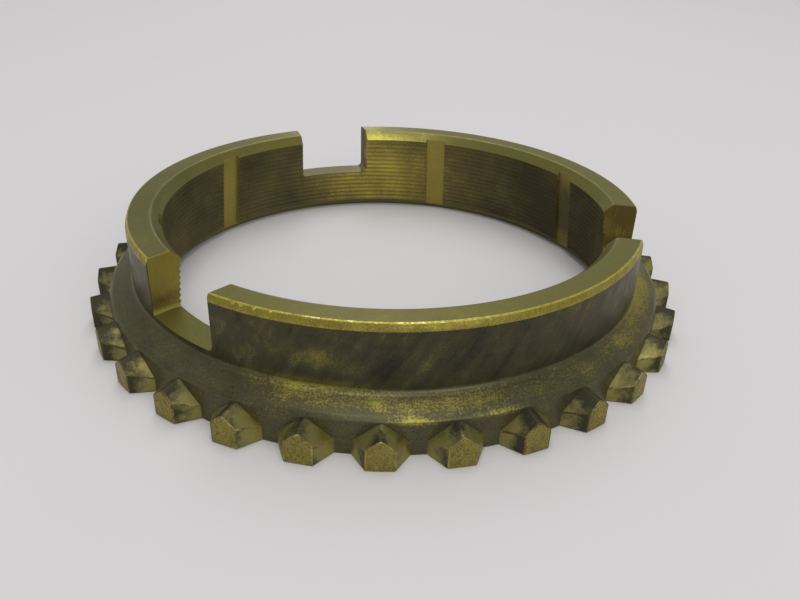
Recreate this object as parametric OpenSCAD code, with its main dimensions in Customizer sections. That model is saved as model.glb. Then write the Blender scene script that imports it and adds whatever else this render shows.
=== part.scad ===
// Synchronizer ring of a manual gearbox, turned and milled from one brass forging.
// Millimetres. The flat bottom face lies on Z = 0 and the axis of the ring is Z.
// The friction cone opens downwards, and the teeth stand round the bottom edge.

/* [Ring] */
// Height from the bottom face to the top face
ring_height = 12.2; // [10:0.1:16]
// Thickness of the wall at the small end of the cone
wall_thickness = 3.85; // [3:0.05:6]
// Width of the bevel on the outer edge of the top face
outer_bevel_width = 0.25; // [0.1:0.05:0.8]
// Drop of that bevel down the wall
outer_bevel_drop = 0.7; // [0.2:0.05:1]

/* [Friction cone] */
// Radius of the cone at its small end, below the top bevel
cone_small_r = 26.4; // [20:0.1:45]
// Angle between the cone and the axis
cone_angle = 6.5; // [5:0.25:9]
// Bevel that leads from the top face into the cone
top_bevel = 1.1; // [0.5:0.1:2]
// Bevel that leads from the bottom face into the cone
bottom_bevel = 1.2; // [0.5:0.1:2]

/* [Oil grooves] */
// Width of a groove along the cone
groove_width = 2.9; // [1:0.1:5]
// Depth of a groove below the cone
groove_depth = 0.35; // [0.2:0.05:1]
// Angle from the middle of a pair of grooves to each of the two
groove_spread = 35.5; // [20:0.5:45]
// Turn of a pair of grooves from the centre of its key slot
groove_turn = 2; // [-5:0.5:5]

/* [Key slots] */
// Number of slots for the sliding keys
slot_count = 3; // [2:1:5]
// Width of a slot between its parallel sides
slot_width = 10; // [6:0.1:14]
// Step from the top of the flange fillet up to the slot floor
slot_step = 0.4; // [0.1:0.05:2]

/* [Flange] */
// Distance that the rim of the flange stands out from the wall
flange_width = 2.75; // [1.8:0.05:4]
// Height of the upright rim between the teeth
rim_height = 3.7; // [3:0.1:5]
// Bevel on the upper edge of the rim
rim_bevel = 0.4; // [0.1:0.05:0.8]
// Slope of the flange from the rim up to the wall
flange_slope = 20; // [10:1:40]
// Radius of the fillet between the flange and the wall
flange_fillet = 0.7; // [0.4:0.1:1.2]

/* [Teeth] */
// Number of teeth round the rim
tooth_count = 30; // [24:1:36]
// Height of a tooth from the rim to its tip
tooth_height = 2.15; // [1.5:0.05:3]
// Width of a tooth across its tip
tip_width = 2.7; // [2:0.1:3.6]
// Angle between a flank and the centre line of its tooth
flank_angle = 31; // [15:1:34]
// Angle between a roof face and the level, across the tooth
roof_angle = 37; // [25:1:45]
// Drop from the edge of the rim to the ridge of the roof
ridge_drop = 0.1; // [0.05:0.05:1]
// Fall of the ridge from the rim to the tip, as an angle
ridge_fall = 8; // [0:1:15]

/* [Hidden] */
// Segments of a full turn
$fn = 180;
// How far a cut runs past the surface that it opens, and a tooth into the rim
cut_over = 1;
tooth_seat = 0.8;
// Direction of the first key slot
first_slot_angle = 90;
// The tarnished brass of the ring
brass = [0.46, 0.41, 0.2];

// Radii of the outside, from the wall out to the tips
wall_r = cone_small_r + wall_thickness;
rim_r = wall_r + flange_width;
tip_r = rim_r + tooth_height;

// The cone, from its small end at the top to its large end
cone_top_z = ring_height - top_bevel;
cone_large_r = cone_small_r + (cone_top_z - bottom_bevel) * tan(cone_angle);

// The flange and the fillet that is tangent to its slope and to the wall
slope_start_r = rim_r - rim_bevel;
slope_start_z = rim_height + rim_bevel;
slope_end_z = slope_start_z + (slope_start_r - wall_r) * tan(flange_slope);
fillet_r = wall_r + flange_fillet;
fillet_z = slope_end_z + flange_fillet * (1 / cos(flange_slope) - tan(flange_slope));
fillet_foot_r = fillet_r - flange_fillet * sin(flange_slope);
fillet_foot_z = fillet_z - flange_fillet * cos(flange_slope);

// The slots reach down to just above the flange
slot_floor_z = fillet_z + slot_step;
slot_pitch = 360 / slot_count;

// A tooth, with its ridge starting just below the edge of the rim
tooth_pitch = 360 / tooth_count;
ridge_z = rim_height - ridge_drop;
seat_r = rim_r - tooth_seat;
seat_half_width = tip_width / 2 + (tip_r - seat_r) * tan(flank_angle);
outer_half_width = tip_width / 2 - cut_over * tan(flank_angle);
roof_half_width = seat_half_width + cut_over;
roof_rise = roof_half_width * tan(roof_angle);
roof_length = tooth_height + tooth_seat + 2 * cut_over;

// Half section of the turned ring, with its fillet left as a straight web
module turned_outline() {
    polygon([
        [cone_large_r + bottom_bevel, 0],
        [rim_r, 0],
        [rim_r, rim_height],
        [slope_start_r, slope_start_z],
        [fillet_foot_r, fillet_foot_z],
        [wall_r, fillet_z],
        [wall_r, ring_height - outer_bevel_drop],
        [wall_r - outer_bevel_width, ring_height],
        [cone_small_r + top_bevel, ring_height],
        [cone_small_r, cone_top_z],
        [cone_large_r, bottom_bevel]
    ]);
}

// The turned ring, with the web hollowed to the fillet's arc
module turned_ring() {
    rotate_extrude() difference() {
        turned_outline();
        translate([fillet_r, fillet_z]) circle(r = flange_fillet);
    }
}

// Plan of one tooth, narrowing from its seat in the rim past its tip
module tooth_plan() {
    polygon([
        [seat_r, -seat_half_width],
        [tip_r + cut_over, -outer_half_width],
        [tip_r + cut_over, outer_half_width],
        [seat_r, seat_half_width]
    ]);
}

// Gable section that roofs a tooth, drawn across it with the ridge at its origin
module gable_section() {
    polygon([
        [-roof_half_width, -roof_rise],
        [0, 0],
        [roof_half_width, -roof_rise],
        [roof_half_width, -roof_rise - ring_height],
        [-roof_half_width, -roof_rise - ring_height]
    ]);
}

// One tooth on the X axis, with upright flanks under a gable roof that falls to the tip
module roofed_tooth() {
    intersection() {
        linear_extrude(rim_height) tooth_plan();
        translate([rim_r, 0, ridge_z]) rotate([0, ridge_fall, 0])
            translate([-tooth_seat - cut_over, 0, 0])
                rotate([90, 0, 90]) linear_extrude(roof_length) gable_section();
    }
}

// All teeth, turned to one tip radius, with a gap centred below the first slot
module toothed_rim() {
    intersection() {
        for (i = [0 : tooth_count - 1])
            rotate(first_slot_angle + (i + 0.5) * tooth_pitch) roofed_tooth();
        cylinder(r = tip_r, h = ring_height);
    }
}

// One slot for a sliding key, open inwards, outwards and upwards
module key_slot() {
    translate([0, -slot_width / 2, slot_floor_z])
        cube([wall_r + cut_over, slot_width, ring_height - slot_floor_z + cut_over]);
}

// One oil groove, milled along the cone at an even depth
module oil_groove() {
    groove_length = (ring_height + 2 * cut_over) / cos(cone_angle);
    below_small_end = (cone_top_z + cut_over) / cos(cone_angle);
    translate([cone_small_r, 0, cone_top_z]) rotate([0, -cone_angle, 0])
        translate([-cut_over, -groove_width / 2, -below_small_end])
            cube([cut_over + groove_depth, groove_width, groove_length]);
}

module synchronizer_ring() {
    color(brass) difference() {
        union() {
            turned_ring();
            toothed_rim();
        }
        for (i = [0 : slot_count - 1]) rotate(first_slot_angle + i * slot_pitch) {
            key_slot();
            for (side = [-1, 1]) rotate(groove_turn + side * groove_spread) oil_groove();
        }
    }
}

synchronizer_ring();
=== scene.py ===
# %% [markdown]
# # A worn brass synchronizer ring
# This ring works in a manual gearbox. In a shift it is pushed on the steel cone of a gear, and the fine
# thread inside it cuts through the oil and brakes the gear until both turn alike. It is one brass forging
# that was turned inside and out, then slotted and toothed, and years of oil have tarnished it.
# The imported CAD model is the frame: it fixes every size and place, and Blender adds the looks.

# %% Load the frame
import math
import random

import bmesh
import bpy
from mathutils import Matrix, Vector


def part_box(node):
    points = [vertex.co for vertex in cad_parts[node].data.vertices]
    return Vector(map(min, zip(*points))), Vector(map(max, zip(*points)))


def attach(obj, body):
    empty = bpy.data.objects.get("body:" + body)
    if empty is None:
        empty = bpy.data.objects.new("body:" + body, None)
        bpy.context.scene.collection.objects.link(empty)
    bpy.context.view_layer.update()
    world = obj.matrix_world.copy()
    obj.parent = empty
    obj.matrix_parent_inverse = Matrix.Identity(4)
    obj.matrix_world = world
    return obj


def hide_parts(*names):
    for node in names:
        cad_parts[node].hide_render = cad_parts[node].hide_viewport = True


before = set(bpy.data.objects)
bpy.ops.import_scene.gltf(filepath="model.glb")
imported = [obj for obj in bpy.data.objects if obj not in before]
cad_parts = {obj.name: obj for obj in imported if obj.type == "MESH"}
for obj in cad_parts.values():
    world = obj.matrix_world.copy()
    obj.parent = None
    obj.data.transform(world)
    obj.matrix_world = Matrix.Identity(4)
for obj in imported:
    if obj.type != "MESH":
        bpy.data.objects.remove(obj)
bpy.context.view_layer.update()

# %% [markdown]
# ## Sizes
# The sizes are those of the CAD model, written in millimetres and turned to metres, because Blender and
# the frame both count in metres. The bottom face lies on Z = 0 and the ring's axis is Z.

# %% Driving sizes
MM = 0.001

ring_height = 12.2 * MM
wall_thickness = 3.85 * MM
outer_bevel_width = 0.25 * MM
outer_bevel_drop = 0.7 * MM

cone_small_r = 26.4 * MM
cone_angle = math.radians(6.5)
top_bevel = 1.1 * MM
bottom_bevel = 1.2 * MM

flange_width = 2.75 * MM
rim_height = 3.7 * MM
rim_bevel = 0.4 * MM
flange_slope = math.radians(20)
flange_fillet = 0.7 * MM

slot_count = 3
slot_width = 10 * MM
slot_step = 0.4 * MM
first_slot_angle = math.radians(90)

tooth_count = 30
print("Ring", round(ring_height / MM, 2), "mm high, with", slot_count, "slots and", tooth_count, "teeth")

# %% Sizes that follow from them
wall_r = cone_small_r + wall_thickness
rim_r = wall_r + flange_width
cone_top_z = ring_height - top_bevel
cone_large_r = cone_small_r + (cone_top_z - bottom_bevel) * math.tan(cone_angle)

slope_start_r = rim_r - rim_bevel
slope_start_z = rim_height + rim_bevel
slope_end_z = slope_start_z + (slope_start_r - wall_r) * math.tan(flange_slope)
fillet_r = wall_r + flange_fillet
fillet_z = slope_end_z + flange_fillet * (1 / math.cos(flange_slope) - math.tan(flange_slope))
slot_floor_z = fillet_z + slot_step
slot_angles = [first_slot_angle + i * math.tau / slot_count for i in range(slot_count)]

frame_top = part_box("synchronizer_ring")[1][2]
print("Height in the frame and here:", round(frame_top, 5), round(ring_height, 5))
print("Slot floor at", round(slot_floor_z / MM, 3), "mm, cone opens to", round(cone_large_r / MM, 3), "mm")


def cone_radius(height):
    """Radius of the friction cone, at the crests of its thread."""
    return cone_small_r + (cone_top_z - height) * math.tan(cone_angle)


# %% [markdown]
# ## Camera
# The camera stands where the photograph was taken from: in front of the ring, a little to its left and
# about 29 degrees above it. Its place, aim and lens were fitted to edges of the ring whose real places
# are known, and its roll is the slight tilt of a camera held by hand.

# %% Camera
camera_place = Vector((-26.1, -81.1, 45.0)) * MM
camera_aim = Vector((0.59, -4.25, 0)) * MM
camera_roll = math.radians(1.9)
image_width_px = 800
focal_length_px = 746
sensor_width_mm = 36

forward = (camera_aim - camera_place).normalized()
level_right = forward.cross(Vector((0, 0, 1))).normalized()
level_up = level_right.cross(forward)
right = level_right * math.cos(camera_roll) + level_up * math.sin(camera_roll)
up = level_up * math.cos(camera_roll) - level_right * math.sin(camera_roll)

camera_data = bpy.data.cameras.new("photographer")
camera_data.sensor_width = sensor_width_mm
camera_data.lens = focal_length_px / image_width_px * sensor_width_mm
camera_data.clip_start = 5 * MM
camera = bpy.data.objects.new("photographer", camera_data)
bpy.context.scene.collection.objects.link(camera)
bpy.context.scene.camera = camera


def stand(thing, place, rightward, upward):
    """Stand a camera or a lamp at a place, looking along its own -Z."""
    turn = Matrix((rightward, upward, rightward.cross(upward))).transposed()
    thing.matrix_world = Matrix.Translation(place) @ turn.to_4x4()


stand(camera, camera_place, right, up)
print("Lens:", round(camera_data.lens, 2), "mm")
print("Camera:", round(camera_place.length / MM), "mm from the origin")

# %% [markdown]
# ## Finishes
# The whole ring is brass, but each surface was made in its own way and has worn in its own way, so each
# has its own material. A material could be painted as a picture. Here it is worked out from the point's
# place on the ring instead, so that it has no seam and stays sharp from close by.
# Colours are written as sRGB hex values, as a colour picker shows them, and one function makes them linear.


# %% Colour and node helpers
def linear(hex_colour):
    """An sRGB hex colour as the linear RGBA that Blender's sockets want."""
    channels = [int(hex_colour[i:i + 2], 16) / 255 for i in (1, 3, 5)]
    return [c / 12.92 if c <= 0.04045 else ((c + 0.055) / 1.055) ** 2.4 for c in channels] + [1]


def add(tree, kind, inputs=None, **settings):
    """Add a node, set its settings, and fill each input with a value or a link."""
    node = tree.nodes.new("ShaderNode" + kind)
    for name, value in settings.items():
        setattr(node, name, value)
    for key, value in (inputs or {}).items():
        if isinstance(value, bpy.types.NodeSocket):
            tree.links.new(value, node.inputs[key])
        else:
            node.inputs[key].default_value = value
    return node


def per(size):
    """Scale of a noise whose features are about this size in metres."""
    return 1 / size


# %% [markdown]
# ### The brass that all finishes share
# Brass is a metal, so the colour of bright brass is the colour of its reflections. Tarnish and baked oil
# lie on it as a dull skin, which scatters light as a paint does, so a tarnished place counts as half metal.
# Two materials could be mixed by a mask. One is simpler: it runs through three tones, from grime over
# tarnish to bright brass, and metal, roughness and relief all follow the same level. Broad clouds, a few
# millimetres across, are broken up by tool marks and by a fine grain. The grain is drawn at 0.15 mm, which
# is coarser than the real one, so that it shows. Places that are rubbed more are brighter, others duller,
# and some patches are painted highlight and painted shade.

# %% Shared brass
noise_detail = 5
noise_roughness = 0.6
tarnish_stop = 0.5
# Up to the level bare_from the skin counts as this share of metal, and its glints are a little warm.
bare_from = 0.4
skin_metal = 0.45
warm_glint = "#f3ecd4"


def worn_brass(name, tones, span, roughness, layers, relief_depth, wear_and_light_patches=()):
    """Make a material that runs from grime to bright brass, with its roughness and relief.

    The tones are those of grime, tarnish and bright brass, and the roughness is that of the first and last.
    Each layer of the pattern is a noise, given by the direction of its marks, their size and their share.
    The layers and the patches, of wear and of painted light, add up to a level, and the span holds the
    levels of full grime and bright brass.
    """
    material = bpy.data.materials.new(name)
    material.use_nodes = True
    tree = material.node_tree
    shader = tree.nodes["Principled BSDF"]
    place = add(tree, "TexCoord").outputs["Object"]
    level = 0
    for direction, size, share in layers:
        marks = {"Vector": direction(tree, place), "Scale": per(size)}
        noise = add(tree, "TexNoise", {**marks, "Detail": noise_detail, "Roughness": noise_roughness})
        level = add(
            tree, "Math", {0: noise.outputs["Fac"], 1: share, 2: level}, operation="MULTIPLY_ADD"
        ).outputs["Value"]
    for patch_level in wear_and_light_patches:
        level = add(tree, "Math", {0: level, 1: patch_level(tree, place)}, operation="ADD").outputs["Value"]

    low, high = span
    worn_and_lit = add(tree, "MapRange", {"Value": level, "From Min": low, "From Max": high}).outputs["Result"]
    tone = add(tree, "ValToRGB", {"Fac": worn_and_lit})
    tone.color_ramp.elements.new(tarnish_stop)
    for stop, colour in zip(tone.color_ramp.elements, tones):
        stop.color = linear(colour)
    metal = add(
        tree, "MapRange", {"Value": worn_and_lit, "From Min": bare_from, "To Min": skin_metal, "To Max": 1}
    )
    dull, bright = roughness
    gloss = add(tree, "MapRange", {"Value": worn_and_lit, "To Min": dull, "To Max": bright})
    relief = add(tree, "Bump", {"Height": level, "Distance": relief_depth})
    shader.inputs["Specular Tint"].default_value = linear(warm_glint)
    tree.links.new(tone.outputs["Color"], shader.inputs["Base Color"])
    tree.links.new(metal.outputs["Result"], shader.inputs["Metallic"])
    tree.links.new(gloss.outputs["Result"], shader.inputs["Roughness"])
    tree.links.new(relief.outputs["Normal"], shader.inputs["Normal"])
    print("Finish:", name, "with", len(layers), "layers of marks and", len(wear_and_light_patches), "rubbed places")
    return material


# %% [markdown]
# ### Directions of the marks
# A tool or a rag leaves marks that run one way. They could be drawn line by line. Here a noise is drawn out
# along that way, by changing the coordinates that it is given, so the marks end and vary by themselves.


# %% Directions of the marks
def outward_from_axis(tree, place):
    """The direction that points straight out from the ring's axis, and the distance from it."""
    flat = add(tree, "VectorMath", {0: place, 1: (1, 1, 0)}, operation="MULTIPLY").outputs["Vector"]
    outward = add(tree, "VectorMath", {0: flat}, operation="NORMALIZE").outputs["Vector"]
    radius = add(tree, "VectorMath", {0: flat}, operation="LENGTH").outputs["Value"]
    return outward, radius


def even(tree, place):
    """Marks without a direction, such as grain and clouds."""
    return place


def upright(tree, place):
    """Marks drawn out along the axis, as a cutter leaves them in a slot or a groove."""
    squeeze = (1, 1, 0.12)
    return add(tree, "Mapping", {"Vector": place, "Scale": squeeze}).outputs["Vector"]


def wiped(tree, place):
    """Marks drawn out along one slant, as a rag leaves them on the front of the wall."""
    slant = (0, math.radians(35), 0)
    stretch = (1, 1, 7)
    return add(
        tree, "Mapping", {"Vector": place, "Rotation": slant, "Scale": stretch}, vector_type="TEXTURE"
    ).outputs["Vector"]


def turned(tree, place):
    """Marks drawn out round the axis, as a lathe tool and a turning part leave them.

    The noise is read along a circle much smaller than the ring, so one turn of it is a few long marks.
    """
    along = 2.5 * MM
    outward, radius = outward_from_axis(tree, place)
    height = add(tree, "SeparateXYZ", {"Vector": place}).outputs["Z"]
    across = add(tree, "Math", {0: radius, 1: height}, operation="ADD").outputs["Value"]
    step = add(tree, "CombineXYZ", {"Z": across}).outputs["Vector"]
    return add(
        tree, "VectorMath", {0: outward, 1: (along, along, along), 2: step}, operation="MULTIPLY_ADD"
    ).outputs["Vector"]


# %% [markdown]
# ### Places that are brighter or duller
# Wear isn't even: hands, grit and other parts reach some places more than others. Such places could be
# painted on the mesh. Here each is worked out from the point's place, and it adds to the level of the brass
# or takes from it, so the same patch runs on across neighbouring finishes. Some patches are painted
# highlight and painted shade instead of wear.


# %% Bands and patches
def near_height(height, reach, amount):
    """A band that is brighter or darker round a height, fading out over a reach above and below it."""
    def patch_level(tree, place):
        z = add(tree, "SeparateXYZ", {"Vector": place}).outputs["Z"]
        off = add(tree, "Math", {0: z, 1: height}, operation="SUBTRACT").outputs["Value"]
        distance = add(tree, "Math", {0: off}, operation="ABSOLUTE").outputs["Value"]
        return add(
            tree, "MapRange", {"Value": distance, "From Max": reach, "To Min": amount, "To Max": 0},
            interpolation_type="SMOOTHSTEP",
        ).outputs["Result"]
    return patch_level


def near_point(degrees, radius, height, reach, amount):
    """A patch that is brighter or darker round a point at so many degrees, with its reach across and
    upwards.
    """
    across, rise = reach
    angle = math.radians(degrees)
    centre = (radius * math.cos(angle), radius * math.sin(angle), height)
    scale = (1 / across, 1 / across, 1 / rise)

    def patch_level(tree, place):
        off = add(tree, "VectorMath", {0: place, 1: centre}, operation="SUBTRACT").outputs["Vector"]
        share = add(tree, "VectorMath", {0: off, 1: scale}, operation="MULTIPLY").outputs["Vector"]
        distance = add(tree, "VectorMath", {0: share}, operation="LENGTH").outputs["Value"]
        return add(
            tree, "MapRange", {"Value": distance, "To Min": amount, "To Max": 0},
            interpolation_type="SMOOTHSTEP",
        ).outputs["Result"]
    return patch_level


# %% [markdown]
# ### Wall: turned brass under tarnish
# The wall was turned and never touched again, so oil has baked on it to an olive brown. One flat colour
# would do from far away, but the real wall is cloudy, so clouds of 6 mm are crossed by the slanting marks
# of a rag, a millimetre wide. To the eye it is dark and half matt. Brass shows where hands have rubbed it
# in front, and where grit has scoured the foot of the wall.

# %% Tarnished wall
grain = (even, 0.15 * MM, 0.25)
# The middle of the wall in front, in degrees round the ring
front = -115
foot_z = fillet_z - 0.3 * MM
scoured_foot = [
    near_point(front - 5, wall_r, foot_z, (9 * MM, 1.4 * MM), 0.2),
    near_point(front + 77, wall_r, foot_z, (15 * MM, 1.3 * MM), 0.17),
]
rubbed_spot = near_point(front - 6, wall_r, 8.2 * MM, (5 * MM, 2.2 * MM), 0.12)
oily_spot = near_point(front + 8, wall_r, 7.6 * MM, (3 * MM, 2 * MM), -0.1)

tarnished_turned_brass = worn_brass(
    "tarnished_turned_brass",
    tones=("#23221a", "#43402a", "#857e3a"),
    span=(0.415, 0.725),
    roughness=(0.43, 0.28),
    layers=[(even, 6 * MM, 0.38), (even, 1 * MM, 0.12), grain, (wiped, 1 * MM, 0.3)],
    relief_depth=0.008 * MM,
    wear_and_light_patches=[*scoured_foot, rubbed_spot, oily_spot],
)

# %% [markdown]
# ### Flange: turned brass, scoured by grit
# Grit has been swept round the flange and has scoured it to bare brass, mostly in front and on its edge. In
# front a painted highlight is added to this scouring.
# The real scratches are a few hundredths of a millimetre wide. They could be a bump alone, but what shows
# is their colour, so they are specks, drawn at 0.2 mm to be seen. To the eye they are a golden dust on
# grey olive. Scoured brass is rougher than tarnish, so here the roughness rises with the brightness.

# %% Scoured flange
flange_r = rim_r - 1.4 * MM
flange_z = 4.5 * MM
# Bright patches on the flange in front: scouring and a painted highlight
scuffs_and_highlight_on_flange = [
    near_point(front + 17, flange_r, flange_z, (9 * MM, 0.8 * MM), 0.12),
    near_point(front + 37, flange_r, flange_z, (20 * MM, 0.8 * MM), 0.08),
    near_point(front + 6.4, flange_r, flange_z, (1.8 * MM, 1.2 * MM), 0.1),
    near_point(front + 59, flange_r, flange_z, (4 * MM, 0.8 * MM), 0.1),
    near_point(front + 84, flange_r, flange_z, (20 * MM, 1 * MM), 0.1),
]
rubbed_rim_edge = [
    near_point(front + 13, rim_r, rim_height, (3.5 * MM, 0.6 * MM), 0.2),
    near_point(front + 26, rim_r, rim_height, (4 * MM, 0.6 * MM), 0.16),
]

worn_flange_brass = worn_brass(
    "worn_flange_brass",
    tones=("#403c2c", "#565237", "#ada14c"),
    span=(0.395, 0.765),
    roughness=(0.27, 0.46),
    layers=[(even, 3 * MM, 0.3), (even, 0.2 * MM, 0.55), (turned, 0.15 * MM, 0.15)],
    relief_depth=0.008 * MM,
    wear_and_light_patches=[*scoured_foot, *scuffs_and_highlight_on_flange, *rubbed_rim_edge],
)

# %% [markdown]
# ### Top face: brass faced on the lathe
# The top was faced with a fine feed, and hands keep it cleaner than the wall. A brushed look could come
# from stretched reflections, but the rings of the tool are so close that they read as satin, so they are a
# fine noise, drawn at 0.12 mm to show. To the eye it is an even olive gold. A painted highlight brightens
# the bevel at the back, and painted shade darkens the floor of the slot there and the left of the top face.

# %% Satin top face
# Painted highlight on the inner bevel at the back
painted_highlight_on_back_bevel = [
    near_point(77, cone_small_r, cone_top_z, (9 * MM, 1.5 * MM), 0.2),
    near_point(95, cone_small_r, cone_top_z, (26 * MM, 1.5 * MM), 0.12),
]
# Painted shade on the floor of the back slot and on the left of the top face and its inner bevel
painted_shade_in_back_slot = near_point(90, wall_r, slot_floor_z, (10 * MM, 2 * MM), -0.25)
painted_shade_on_left_top = near_point(170, cone_small_r, ring_height, (24 * MM, 2 * MM), -0.2)

satin_faced_brass = worn_brass(
    "satin_faced_brass",
    tones=("#5d582b", "#6e6a34", "#92893f"),
    span=(0.3, 0.75),
    roughness=(0.42, 0.22),
    layers=[(even, 4 * MM, 0.45), (even, 0.3 * MM, 0.4), (turned, 0.12 * MM, 0.15)],
    relief_depth=0.008 * MM,
    wear_and_light_patches=[*painted_highlight_on_back_bevel, painted_shade_in_back_slot, painted_shade_on_left_top],
)

# %% [markdown]
# ### Outer edge: brass rubbed and dented
# The bevel round the top is what hands and other parts touch first, so it is the brightest brass. Its
# upper corner is dented all along by knocks. The dents could be modelled, but they are only a few
# hundredths of a millimetre deep, so they are relief, with dents 0.2 mm wide. To the eye they are a line of
# sparkles along the edge.

# %% Rubbed bevel and dented corner
rubbed_bevel_brass = worn_brass(
    "rubbed_bevel_brass",
    tones=("#595124", "#897d33", "#b8ab44"),
    span=(0.3, 0.7),
    roughness=(0.46, 0.26),
    layers=[(even, 1 * MM, 0.4), (even, 0.15 * MM, 0.6)],
    relief_depth=0.012 * MM,
)
dented_corner_brass = worn_brass(
    "dented_corner_brass",
    tones=("#897d33", "#b8ab44", "#ece4a4"),
    span=(0.35, 0.7),
    roughness=(0.4, 0.2),
    layers=[(even, 0.8 * MM, 0.5), (even, 0.2 * MM, 0.5)],
    relief_depth=0.04 * MM,
)

# %% [markdown]
# ### Slots and grooves: milled and broached brass
# These were cut after turning, with fine marks that run along the axis, and the hub's keys and fresh oil
# keep them clean. They could share the finish of the wall, but to the eye they are much more golden. The
# marks are drawn at 0.2 mm, which is coarser than the real ones. Painted shade darkens the corners above
# the slot floors, the sides of the slots on the right and at the back, and the grooves on the right.

# %% Milled slots and broached grooves
# Painted shade above the slot floors, on slot sides at the right and the back, and in the grooves on the
# right
painted_shade_above_floor = near_height(slot_floor_z + 1.3 * MM, 1.6 * MM, -0.22)
painted_shade_on_right_slot = near_point(-22, wall_r, ring_height, (10 * MM, 10 * MM), -0.36)
painted_shade_on_back_side = near_point(80, wall_r, ring_height, (6 * MM, 9 * MM), -0.5)
painted_shade_in_right_groove = near_point(7.5, cone_small_r, 6 * MM, (6 * MM, 9 * MM), -0.42)

milled_slot_brass = worn_brass(
    "milled_slot_brass",
    tones=("#5a4d20", "#8f8039", "#a99a47"),
    span=(0.25, 0.65),
    roughness=(0.52, 0.32),
    layers=[(even, 4 * MM, 0.5), grain, (upright, 0.2 * MM, 0.3)],
    relief_depth=0.005 * MM,
    wear_and_light_patches=[painted_shade_above_floor, painted_shade_on_right_slot, painted_shade_on_back_side],
)
broached_groove_brass = worn_brass(
    "broached_groove_brass",
    tones=("#4f4729", "#8e803c", "#a2944a"),
    span=(0.16, 0.74),
    roughness=(0.52, 0.32),
    layers=[(even, 4 * MM, 0.5), grain, (upright, 0.2 * MM, 0.25)],
    relief_depth=0.005 * MM,
    wear_and_light_patches=[painted_shade_in_right_groove],
)

# %% [markdown]
# ### Thread: cut brass
# The steel cone of the gear runs on this thread. The thread itself is geometry, so the material only gives
# the colour of oily brass. To the eye it is a dark brown, with a painted highlight in gold at the back and
# painted shade on the right. It is the most matt finish, because the small tears that the tool left in the
# grooves catch the oil.

# %% Threaded cone
# Painted highlight at the back of the cone, and painted shade on its right
painted_highlight_on_back_cone = near_point(74, cone_small_r, 6 * MM, (18 * MM, 18 * MM), 0.27)
painted_shade_on_right_cone = near_point(5, cone_small_r, 6 * MM, (25 * MM, 25 * MM), -0.14)

threaded_cone_brass = worn_brass(
    "threaded_cone_brass",
    tones=("#433d28", "#665c36", "#ad9d48"),
    span=(0.36, 0.85),
    roughness=(0.68, 0.48),
    layers=[(even, 6 * MM, 0.6), (even, 0.2 * MM, 0.4)],
    relief_depth=0.005 * MM,
    wear_and_light_patches=[painted_highlight_on_back_cone, painted_shade_on_right_cone],
)

# %% [markdown]
# ### Teeth: forged brass, rubbed by the sleeve
# The sleeve slides over the teeth. It keeps the feet of the flanks bright and pushes grime out to the tips,
# while tarnish stays along each ridge, and the flanks that face one way round the ring are a little
# brighter.
# Each tooth could have its own patches, but the cause is the same for all. So the rubbing is worked out
# from the distance to the axis, from the side that a face looks to and from the angle to the nearest ridge.


# %% How the sleeve rubs
def by_sleeve(tree, place):
    """The sleeve rubs the feet of the flanks and grime stays near the tips; flanks that face one way round
    are brighter.
    """
    foot_r = rim_r + 0.4 * MM
    grimy_r = rim_r + 1.8 * MM
    foot_rub = 0.08
    tip_grime = -0.24
    # The flanks that face one way round the ring are a little brighter
    side_lift = 0.06
    outward, radius = outward_from_axis(tree, place)
    normal = add(tree, "TexCoord").outputs["Normal"]
    sideways = add(tree, "VectorMath", {0: outward, 1: normal}, operation="CROSS_PRODUCT").outputs["Vector"]
    facing_side = add(tree, "SeparateXYZ", {"Vector": sideways}).outputs["Z"]
    facing_up = add(tree, "SeparateXYZ", {"Vector": normal}).outputs["Z"]
    level_share = add(tree, "Math", {0: facing_up}, operation="ABSOLUTE").outputs["Value"]
    upright_share = add(tree, "Math", {0: 1, 1: level_share}, operation="SUBTRACT").outputs["Value"]
    reach = {"From Min": foot_r, "From Max": grimy_r, "To Min": foot_rub, "To Max": tip_grime}
    from_foot = add(tree, "MapRange", {"Value": radius, **reach}).outputs["Result"]
    level = add(tree, "Math", {0: from_foot, 1: upright_share}, operation="MULTIPLY").outputs["Value"]
    return add(
        tree, "Math", {0: facing_side, 1: side_lift, 2: level}, operation="MULTIPLY_ADD"
    ).outputs["Value"]


def along_ridges(tree, place):
    """Tarnish stays along the ridge of each tooth and thins out down its roof."""
    half_pitch = math.pi / tooth_count
    ridge_reach = 1.4 * MM / rim_r
    eave_rub = 0.06
    ridge_tarnish = -0.24
    spots = add(tree, "SeparateXYZ", {"Vector": place}).outputs
    angle = add(tree, "Math", {0: spots["Y"], 1: spots["X"]}, operation="ARCTAN2").outputs["Value"]
    from_slot = add(tree, "Math", {0: angle, 1: first_slot_angle}, operation="SUBTRACT").outputs["Value"]
    from_gap = add(tree, "Math", {0: from_slot, 1: half_pitch}, operation="PINGPONG").outputs["Value"]
    reach = {"From Min": half_pitch - ridge_reach, "From Max": half_pitch}
    amounts = {"To Min": eave_rub, "To Max": ridge_tarnish}
    return add(tree, "MapRange", {"Value": from_gap, **reach, **amounts}).outputs["Result"]


# %% [markdown]
# ### Three finishes on a tooth
# The flanks and roofs are as forged, blotchy with grime. The tips were turned to one diameter and are
# speckled, with grit pressed into bare brass. The edges between them are rubbed brightest. One finish could
# cover a whole tooth, but to the eye the bright tip and its edges are what sets each tooth off from the
# next. Some teeth are duller all over: painted shade on the far left, and darker patches on the right
# front.

# %% Flanks, tips and edges of the teeth
tooth_z = 2 * MM
# Duller teeth: painted shade on the far left, darker patches on the right front
dull_and_shaded_teeth = [
    near_point(-77, rim_r, tooth_z, (14 * MM, 14 * MM), -0.17),
    near_point(-38, rim_r, tooth_z, (14 * MM, 14 * MM), -0.13),
    near_point(185, rim_r, tooth_z, (36 * MM, 36 * MM), -0.26),
]
dull_tips_on_right = near_point(-38, rim_r, tooth_z, (14 * MM, 14 * MM), -0.18)

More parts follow.
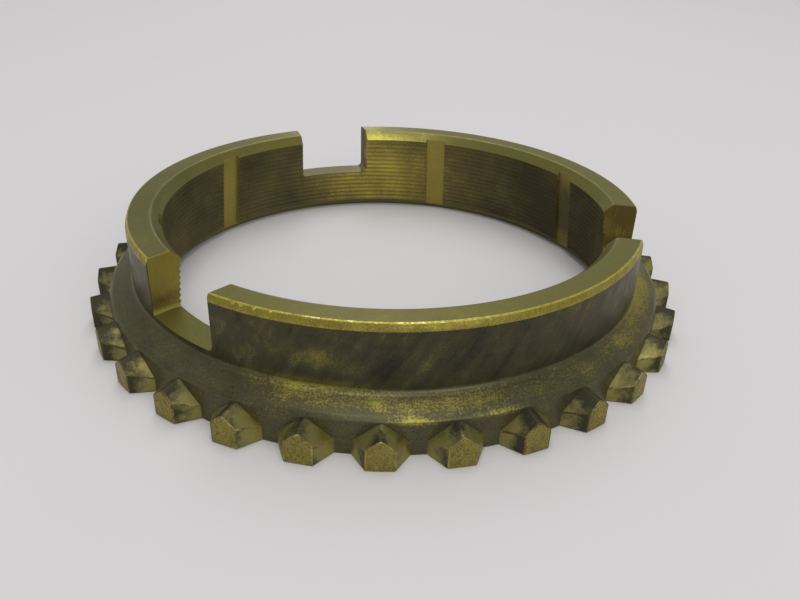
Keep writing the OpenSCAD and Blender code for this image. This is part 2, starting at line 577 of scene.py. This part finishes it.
grimy_tooth_brass = worn_brass(
    "grimy_tooth_brass",
    tones=("#363324", "#857e4b", "#9c954f"),
    span=(0.37, 0.88),
    roughness=(0.55, 0.35),
    layers=[(even, 1.8 * MM, 0.8), (even, 0.6 * MM, 0.3), (even, 0.15 * MM, 0.2)],
    relief_depth=0.01 * MM,
    wear_and_light_patches=[by_sleeve, along_ridges, *dull_and_shaded_teeth],
)
sleeve_rubbed_tip_brass = worn_brass(
    "sleeve_rubbed_tip_brass",
    tones=("#443d1c", "#80753a", "#a0944a"),
    span=(0.34, 0.66),
    roughness=(0.52, 0.32),
    layers=[(even, 1 * MM, 0.3), (even, 0.2 * MM, 0.7)],
    relief_depth=0.012 * MM,
    wear_and_light_patches=[dull_tips_on_right],
)
rubbed_tooth_edge_brass = worn_brass(
    "rubbed_tooth_edge_brass",
    tones=("#4a4426", "#8f8446", "#c2b560"),
    span=(0.35, 0.65),
    roughness=(0.46, 0.26),
    layers=[(even, 1 * MM, 0.5), (even, 0.15 * MM, 0.5)],
    relief_depth=0.01 * MM,
    wear_and_light_patches=dull_and_shaded_teeth,
)

# %% All finishes, in the order of the mesh's material slots
finishes = [
    tarnished_turned_brass, worn_flange_brass, satin_faced_brass, rubbed_bevel_brass, dented_corner_brass,
    milled_slot_brass, broached_groove_brass, threaded_cone_brass, grimy_tooth_brass,
    sleeve_rubbed_tip_brass, rubbed_tooth_edge_brass,
]
print("Finishes:", len(finishes))

# %% [markdown]
# ## The turned blank
# A lathe makes the blank, so its outline is drawn once and carried round the axis. Each corner of a turned
# part is broken a little, and that thin band is what catches the light, so each corner of the outline is
# swapped for a small arc. The Screw modifier could sweep the outline, but the thread inside is no plain
# turned shape, so the rows of points are laid out in code. Each stretch of the outline names its finish.

# %% Fillet between the flange and the wall
fillet_steps = 8
scoured_steps = 6

fillet = []
for step in range(fillet_steps + 1):
    turn = flange_slope + (math.pi / 2 - flange_slope) * step / fillet_steps
    point = (fillet_r - flange_fillet * math.sin(turn), fillet_z - flange_fillet * math.cos(turn))
    fillet.append((point, worn_flange_brass if step < scoured_steps else tarnished_turned_brass))
print("Fillet from", round(fillet[0][0][1] / MM, 2), "to", round(fillet[-1][0][1] / MM, 2), "mm of height")

# %% Corners of the outside
edge_break = 0.12 * MM
worn_inner_break = 0.25 * MM
unbroken = 0

# Each corner is followed by the finish of its broken edge, that of the stretch after it, and its break.
corners = [
    ((cone_large_r + bottom_bevel, 0), tarnished_turned_brass, tarnished_turned_brass, edge_break),
    ((rim_r, 0), worn_flange_brass, worn_flange_brass, edge_break),
    ((rim_r, rim_height), worn_flange_brass, worn_flange_brass, edge_break),
    ((slope_start_r, slope_start_z), worn_flange_brass, worn_flange_brass, edge_break),
    *[(point, finish, finish, unbroken) for point, finish in fillet],
    ((wall_r, ring_height - outer_bevel_drop), rubbed_bevel_brass, rubbed_bevel_brass, edge_break),
    ((wall_r - outer_bevel_width, ring_height), dented_corner_brass, satin_faced_brass, edge_break),
    ((cone_small_r + top_bevel, ring_height), satin_faced_brass, satin_faced_brass, worn_inner_break),
]
cone_start = (cone_large_r, bottom_bevel)
cone_end = (cone_small_r, cone_top_z)
print("Corners outside:", len(corners))

# %% Rows of the outside
break_steps = 4


def broken_corner(before, corner, after, size):
    """Swap a sharp corner for a small arc, as a file or a deburring tool leaves it."""
    before, corner, after = Vector(before), Vector(corner), Vector(after)
    start = corner + (before - corner).normalized() * size
    end = corner + (after - corner).normalized() * size
    points = []
    for step in range(break_steps + 1):
        share = step / break_steps
        points.append(start.lerp(corner, share).lerp(corner.lerp(end, share), share))
    return [tuple(point) for point in points]


path = [cone_start, *[corner[0] for corner in corners], cone_end]
outside = [(cone_start, satin_faced_brass)]
for (point, edge_finish, finish, size), before, after in zip(corners, path, path[2:]):
    if size == unbroken:
        outside.append((point, finish))
    else:
        arc = broken_corner(before, point, after, size)
        outside += [(spot, edge_finish) for spot in arc[:-1]] + [(arc[-1], finish)]
print("Rows outside:", len(outside))

# %% Turn the blank
columns = 480
angles = [column * math.tau / columns for column in range(columns)]


def at(radius, angle, height):
    """A point in metres from its radius, angle and height."""
    return Vector((radius * math.cos(angle), radius * math.sin(angle), height))


blank = bmesh.new()
outside_points = [
    [blank.verts.new(at(radius, angle, height)) for angle in angles]
    for (radius, height), finish in outside
]
small_end = [blank.verts.new(at(cone_small_r, angle, cone_top_z)) for angle in angles]
outside_points.append(small_end)
for row, (point, finish) in enumerate(outside):
    for column in range(columns):
        following = (column + 1) % columns
        face = blank.faces.new((
            outside_points[row][column], outside_points[row][following],
            outside_points[row + 1][following], outside_points[row + 1][column],
        ))
        face.material_index = finishes.index(finish)
print("Faces outside:", len(blank.faces))

# %% [markdown]
# ## The thread in the friction cone
# The inside is a cone, opening downwards, with a fine thread whose narrow crests scrape the oil away. The
# CAD model has a plain cone at the crests, and the thread is cut outwards from it here. A bump map would
# look flat where a slot cuts through the thread, so it is real geometry. Its rows climb round the ring by
# one pitch a turn, as a lathe tool does, and a row that has run past an end of the cone lies on that end.

# %% Rows of the thread
thread_pitch = 0.66 * MM
thread_depth = 0.16 * MM
thread_fade = 0.35 * MM
# Each point of the profile is a share of the pitch, followed by a share of the depth.
thread_profile = [(0, 0), (0.14, 0), (0.48, 1), (0.66, 1)]

cone_height = cone_top_z - bottom_bevel
spare_turns = 2
thread_turns = math.ceil(cone_height / thread_pitch) + spare_turns
rows_per_turn = len(thread_profile)
thread_rows = thread_turns * rows_per_turn
print("Thread:", thread_turns, "turns of", round(thread_pitch / MM, 2), "mm")


def thread_point(row, turn_share):
    """Radius and height of a row of the thread, at a share of a full turn."""
    turn, step = divmod(row, rows_per_turn)
    rise, depth_share = thread_profile[step]
    height = bottom_bevel + (turn - 1 + rise + turn_share) * thread_pitch
    height = min(max(height, bottom_bevel), cone_top_z)
    fade = min(1, min(height - bottom_bevel, cone_top_z - height) / thread_fade)
    return cone_radius(height) + thread_depth * depth_share * fade, height


# %% Points of the thread
large_end = outside_points[0]
thread_points = []
for column, angle in enumerate(angles):
    line = []
    for row in range(thread_rows + rows_per_turn):
        radius, height = thread_point(row, column / columns)
        if height <= bottom_bevel:
            line.append(large_end[column])
        elif height >= cone_top_z:
            line.append(small_end[column])
        else:
            line.append(blank.verts.new(at(radius, angle, height)))
    thread_points.append(line)
print("Points on a line down the cone:", len(set(thread_points[0])))

# %% Faces of the thread
for column in range(columns):
    here = thread_points[column]
    following = thread_points[(column + 1) % columns]
    shift = rows_per_turn if column == columns - 1 else 0
    for row in range(thread_rows - 1):
        ring_of_points = [here[row + 1], following[row + 1 + shift], following[row + shift], here[row]]
        loop = [point for i, point in enumerate(ring_of_points) if point is not ring_of_points[i - 1]]
        if len(loop) > 2:
            blank.faces.new(loop).material_index = finishes.index(threaded_cone_brass)
bmesh.ops.recalc_face_normals(blank, faces=blank.faces)


def make_object(name, mesh_builder):
    """Turn a finished bmesh into an object that carries all finishes."""
    mesh = bpy.data.meshes.new(name)
    mesh_builder.to_mesh(mesh)
    mesh_builder.free()
    for finish in finishes:
        mesh.materials.append(finish)
    thing = bpy.data.objects.new(name, mesh)
    bpy.context.scene.collection.objects.link(thing)
    return thing


ring = make_object("worn_brass_ring", blank)
loose_edges = sum(1 for edge in ring.data.edges if edge.is_loose)
print("Blank:", len(ring.data.polygons), "faces,", loose_edges, "loose edges")

# %% [markdown]
# ## Cutting and joining
# The slots, the grooves and the teeth were made on the blank one after the other, and so they are here.
# Bevelling the finished mesh would trip over the fine thread, so each cutter carries the broken edge that
# it leaves. The face that a cutter leaves also takes the cutter's finish.

# %% Boolean helper
looks_down = -0.9


def shape(part, tool, operation):
    """Cut a tool from the part or join it on, and throw the tool away."""
    step = part.modifiers.new("step", "BOOLEAN")
    step.object = tool
    step.operation = operation
    step.solver = "EXACT"
    step.material_mode = "TRANSFER"
    shaped = bpy.data.meshes.new_from_object(part.evaluated_get(bpy.context.evaluated_depsgraph_get()))
    part.modifiers.clear()
    part.data = shaped
    bpy.data.objects.remove(tool)
    print("Faces now:", len(shaped.polygons))


def prism(builder, outline, ends, lay, finish, floor_finish=None):
    """Carry an outline from one end to the other, where lay places its points in space.

    The underside of a cutter leaves a floor, which may have a finish of its own.
    """
    rings = [[builder.verts.new(lay(u, v, end)) for u, v in outline] for end in ends]
    faces = [builder.faces.new(rings[0]), builder.faces.new(rings[1])]
    for i in range(len(outline)):
        faces.append(builder.faces.new((rings[0][i - 1], rings[0][i], rings[1][i], rings[1][i - 1])))
    bmesh.ops.recalc_face_normals(builder, faces=faces)
    for face in faces:
        face.normal_update()
        is_floor = floor_finish and face.normal.z < looks_down
        face.material_index = finishes.index(floor_finish if is_floor else finish)


# %% [markdown]
# ## Key slots
# Three keys of the hub slide in these slots and push the ring on its cone. They are milled, with parallel
# sides and a level floor, and a small radius in the corners from the cutter's edge. A box could cut them,
# but then every edge would be sharp, so the cutter's section has the radius and widens at the top face. A
# second, three-sided cutter breaks the edges where a slot leaves the wall.

# %% Sections of the slot cutters
slot_edge = 0.1 * MM
corner_r = 0.55 * MM
corner_steps = 6
past = 1 * MM
half_slot = slot_width / 2
wall_at_side = math.sqrt(wall_r ** 2 - half_slot ** 2)

side = []
for step in range(corner_steps + 1):
    turn = math.pi / 2 * step / corner_steps
    side.append((
        half_slot - corner_r * (1 - math.sin(turn)),
        slot_floor_z + corner_r * (1 - math.cos(turn)),
    ))
side.append((half_slot, ring_height - slot_edge))
side.append((half_slot + slot_edge + past, ring_height + past))
slot_section = side + [(-across, height) for across, height in reversed(side)]
edge_plan = [
    (wall_at_side - slot_edge - past, half_slot - past),
    (wall_at_side + past, half_slot + slot_edge + past),
    (wall_at_side + past, half_slot - past),
]
print("Slot", round(slot_width / MM, 2), "mm wide,", round((ring_height - slot_floor_z) / MM, 2), "mm deep")

# %% Mill the slots
slots = bmesh.new()
slot_edges = bmesh.new()
for angle in slot_angles:
    turn = Vector((math.cos(angle), math.sin(angle), 0))
    across_turn = Vector((-math.sin(angle), math.cos(angle), 0))
    prism(
        slots, slot_section, (cone_small_r - 2 * past, rim_r + past),
        lambda across, height, out: turn * out + across_turn * across + Vector((0, 0, height)),
        milled_slot_brass, floor_finish=satin_faced_brass,
    )
    for hand in (-1, 1):
        prism(
            slot_edges, edge_plan, (slot_floor_z + corner_r, ring_height + 2 * past),
            lambda out, across, height: turn * out + across_turn * across * hand + Vector((0, 0, height)),
            tarnished_turned_brass,
        )
shape(ring, make_object("slots", slots), "DIFFERENCE")
shape(ring, make_object("slot_edges", slot_edges), "DIFFERENCE")

# %% [markdown]
# ## Oil grooves
# Six shallow grooves run down the cone, in a pair beside each slot, and carry the scraped oil away. They
# could be part of the thread's rows, but a broach was drawn along the cone at an even depth, so here too
# a cutter leans with the cone and leaves a smooth floor.

# %% Cut the grooves
groove_width = 2.9 * MM
groove_depth = 0.35 * MM
groove_spread = math.radians(35.5)
groove_turn = math.radians(2)

half_groove = groove_width / 2
groove_plan = [
    (-past, -half_groove),
    (groove_depth, -half_groove),
    (groove_depth, half_groove),
    (-past, half_groove),
]
grooves = bmesh.new()
for slot_angle in slot_angles:
    for direction in (-1, 1):
        angle = slot_angle + groove_turn + direction * groove_spread
        turn = Vector((math.cos(angle), math.sin(angle), 0))
        across_turn = Vector((-math.sin(angle), math.cos(angle), 0))
        prism(
            grooves, groove_plan, (-past, ring_height + past),
            lambda depth, across, height: (
                turn * (cone_radius(height) + depth) + across_turn * across + Vector((0, 0, height))
            ),
            broached_groove_brass,
        )
shape(ring, make_object("grooves", grooves), "DIFFERENCE")

# %% [markdown]
# ## Teeth
# The pointed teeth round the rim meet the splines of the shift sleeve and hold it back until the gear has
# been braked. Each has two flanks that narrow to the tip and a gable roof that falls a little outwards,
# with a ridge that is worn round but keeps its height. They could be one array, but each real tooth has
# been struck and worn a little differently, so each is made by itself and its edges are rounded by an
# amount of its own. The amounts come from a fixed seed.

# %% Sizes of a tooth
tooth_height = 2.15 * MM
tooth_seat = 0.8 * MM
tip_width = 2.7 * MM
flank_angle = math.radians(31)
roof_angle = math.radians(37)
ridge_drop = 0.1 * MM
ridge_fall = math.radians(8)
ridge_round = 0.25 * MM
ridge_lines = [step * ridge_round for step in (-2.4, -1.2, -0.4, 0.4, 1.2, 2.4)]

tip_r = rim_r + tooth_height
half_tip = tip_width / 2
tip_corner_x = math.sqrt(tip_r ** 2 - half_tip ** 2)
seat_r = rim_r - tooth_seat
half_seat = half_tip + (tip_corner_x - seat_r) * math.tan(flank_angle)
print("Tooth", round(2 * half_seat / MM, 2), "mm wide at its seat")


def worn_drop(across):
    """How far a ridge that is worn round has dropped at a distance across, on a slope of one."""
    return math.hypot(across, ridge_round) - ridge_round


def roof_height(out, across, half_width):
    """Height of the gable roof over a point of the tooth, where the tooth has this half width."""
    ridge = rim_height - ridge_drop - (out - rim_r) * math.tan(ridge_fall)
    share = worn_drop(across) / worn_drop(half_width)
    return ridge - share * half_width * math.tan(roof_angle) / math.cos(ridge_fall)


# %% Faces of one tooth
tip_side = 2


def tooth_faces(builder, angle):
    """Build one tooth from upright sections, and give all its faces and those of its tip."""
    turn = Vector((math.cos(angle), math.sin(angle), 0))
    across_turn = Vector((-math.sin(angle), math.cos(angle), 0))
    sections = []
    for tip_across in (-half_tip, *ridge_lines, half_tip):
        at_flank = abs(tip_across) == half_tip
        seat_across = math.copysign(half_seat, tip_across) if at_flank else tip_across
        tip_out = math.sqrt(tip_r ** 2 - tip_across ** 2)
        sections.append([
            builder.verts.new(turn * out + across_turn * across + Vector((0, 0, height)))
            for out, across, height in (
                (seat_r, seat_across, 0),
                (tip_out, tip_across, 0),
                (tip_out, tip_across, roof_height(tip_out, tip_across, half_tip)),
                (seat_r, seat_across, roof_height(seat_r, seat_across, half_seat)),
            )
        ])
    faces = [builder.faces.new(sections[0]), builder.faces.new(sections[-1])]
    tips = []
    for before, after in zip(sections, sections[1:]):
        for i in range(len(before)):
            face = builder.faces.new((before[i - 1], before[i], after[i], after[i - 1]))
            faces.append(face)
            if i == tip_side:
                tips.append(face)
    return faces, tips


# %% Make the teeth
least_wear = 0.06 * MM
most_wear = 0.13 * MM
sharp_turn = math.radians(35)

wear = random.Random(30)
teeth = bmesh.new()
for index in range(tooth_count):
    faces, tips = tooth_faces(teeth, first_slot_angle + (index + 0.5) * math.tau / tooth_count)
    for face in faces:
        finish = sleeve_rubbed_tip_brass if face in tips else grimy_tooth_brass
        face.material_index = finishes.index(finish)
    bmesh.ops.recalc_face_normals(teeth, faces=faces)
    sharp = [
        edge for edge in {edge for face in faces for edge in face.edges}
        if edge.calc_face_angle() > sharp_turn
    ]
    bmesh.ops.bevel(
        teeth, geom=sharp, offset=wear.uniform(least_wear, most_wear), offset_type="OFFSET",
        segments=2, profile=0.5, affect="EDGES", clamp_overlap=True,
        material=finishes.index(rubbed_tooth_edge_brass),
    )
shape(ring, make_object("teeth", teeth), "UNION")

# %% [markdown]
# ## Knocks
# The top edge was knocked in handling, which has raised small bright burrs beside the slots. They could be
# bumps in the material, but they stand out from the edge, so each is a lump of a few tenths of a
# millimetre, drawn out along the edge, pushed out of shape by a fixed seed and level with the top face.

# %% Raise the burrs
# Degrees round the ring, with the radius of the burr in millimetres
burr_sizes = {-160.2: 0.32, -161.6: 0.2, -134.9: 0.23, -133.2: 0.25, -130.6: 0.22, -127.5: 0.2}
burr_form = (0.8, 1.3, 1)
deepest_dent = 0.7

dents = random.Random(7)
burrs = bmesh.new()
for degrees, size in burr_sizes.items():
    angle = math.radians(degrees)
    centre = at(wall_r - outer_bevel_width, angle, ring_height - size * MM)
    lie = Matrix.Rotation(angle, 3, "Z") @ Matrix.Diagonal(burr_form)
    lump = bmesh.ops.create_icosphere(burrs, subdivisions=2, radius=size * MM)["verts"]
    for point in lump:
        point.co = centre + lie @ point.co * dents.uniform(deepest_dent, 1)
for face in burrs.faces:
    face.material_index = finishes.index(dented_corner_brass)
shape(ring, make_object("burrs", burrs), "UNION")

# %% [markdown]
# ## Smooth faces and crisp edges
# A turned face is round, but the mesh is made of flat facets. More facets could hide that. Smooth shading
# does it for nothing, and it stops at every edge that turns sharply. The sides of the thread are so small
# that their edges stay smooth, which keeps them from flickering. The last step gives large faces more say
# in the shading, so that flat faces stay flat up to their broken edges.

# %% Smooth the ring
crisp_turn = math.radians(28)

for polygon in ring.data.polygons:
    polygon.use_smooth = True
ring.data.set_sharp_from_angle(angle=crisp_turn)
thread_sides = {}
for polygon in ring.data.polygons:
    if polygon.material_index == finishes.index(threaded_cone_brass):
        for loop in polygon.loop_indices:
            edge = ring.data.loops[loop].edge_index
            thread_sides[edge] = thread_sides.get(edge, 0) + 1
for edge, sides in thread_sides.items():
    if sides == 2:
        ring.data.edges[edge].use_edge_sharp = False
even_shading = ring.modifiers.new("even_shading", "WEIGHTED_NORMAL")
even_shading.keep_sharp = True
ring.data.calc_loop_triangles()
print("Ring:", len(ring.data.loop_triangles), "triangles")

# %% [markdown]
# ## Floor
# The ring lies on a plain pale floor. It could have folds and a weave, but it only has to take the shadow,
# so one large square will do, a hair below the ring. Woven cloth has no gloss, so the floor is rough.

# %% Floor
floor_size = 3
floor_gap = 0.02 * MM
floor_builder = bmesh.new()
bmesh.ops.create_grid(floor_builder, x_segments=1, y_segments=1, size=floor_size / 2)
floor_mesh = bpy.data.meshes.new("pale_floor")
floor_builder.to_mesh(floor_mesh)
floor_builder.free()
floor = bpy.data.objects.new("pale_floor", floor_mesh)
floor.location.z = -floor_gap
bpy.context.scene.collection.objects.link(floor)
pale_cloth = bpy.data.materials.new("pale_cloth")
pale_cloth.use_nodes = True
cloth_shader = pale_cloth.node_tree.nodes["Principled BSDF"]
cloth_shader.inputs["Base Color"].default_value = linear("#dad7d8")
cloth_shader.inputs["Roughness"].default_value = 0.9
floor_mesh.materials.append(pale_cloth)
print("Floor:", floor_size, "m wide")

# %% [markdown]
# ## Light
# The photograph was lit by a soft light from above. A sky alone would leave the brass flat, because metal
# shows what it mirrors. So a long soft box hangs overhead and draws the light bands on the bevels, a
# smaller one fills in from the front and the right, and a weak one at the back lights the bevel there. A
# pale sky fills in from all round.


# %% Soft boxes
def soft_lamp(name, place, aim, size, watts):
    """A soft box that is level from left to right, turned to its aim."""
    lamp_data = bpy.data.lights.new(name, "AREA")
    lamp_data.shape = "RECTANGLE"
    lamp_data.size, lamp_data.size_y = size
    lamp_data.energy = watts
    lamp = bpy.data.objects.new(name, lamp_data)
    bpy.context.scene.collection.objects.link(lamp)
    ahead = (aim - place).normalized()
    stand(lamp, place, level_right, level_right.cross(ahead))
    print("Lamp:", name, watts, "W, from", [round(value, 2) for value in place])


# Places are given in metres upwards, away from the camera and to its right.
upwards = Vector((0, 0, 1))
away = Vector((-camera_place.x, -camera_place.y, 0)).normalized()
ring_centre = Vector((0, 0, 0))
overhead_place = upwards * 0.7 + away * 0.15
front_place = upwards * 0.28 - away * 0.5 + level_right * 0.25
back_place = upwards * 0.21 + away * 0.8 - level_right * 0.05

soft_lamp("overhead_box", overhead_place, overhead_place - upwards, size=(0.32, 1.6), watts=3.6)
soft_lamp("front_box", front_place, ring_centre, size=(0.5, 0.35), watts=1.0)
soft_lamp("back_box", back_place, ring_centre, size=(0.1, 0.2), watts=0.14)

# %% Sky and colours
sky_strength = 0.42
world = bpy.data.worlds.new("pale_room")
bpy.context.scene.world = world
world.use_nodes = True
sky = world.node_tree.nodes["Background"]
sky.inputs["Color"].default_value = linear("#ffffff")
sky.inputs["Strength"].default_value = sky_strength
bpy.context.scene.view_settings.view_transform = "Standard"
print("Sky of strength", sky_strength)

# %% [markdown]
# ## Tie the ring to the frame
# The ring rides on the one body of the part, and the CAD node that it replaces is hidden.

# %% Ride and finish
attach(ring, "root")
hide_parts("synchronizer_ring")
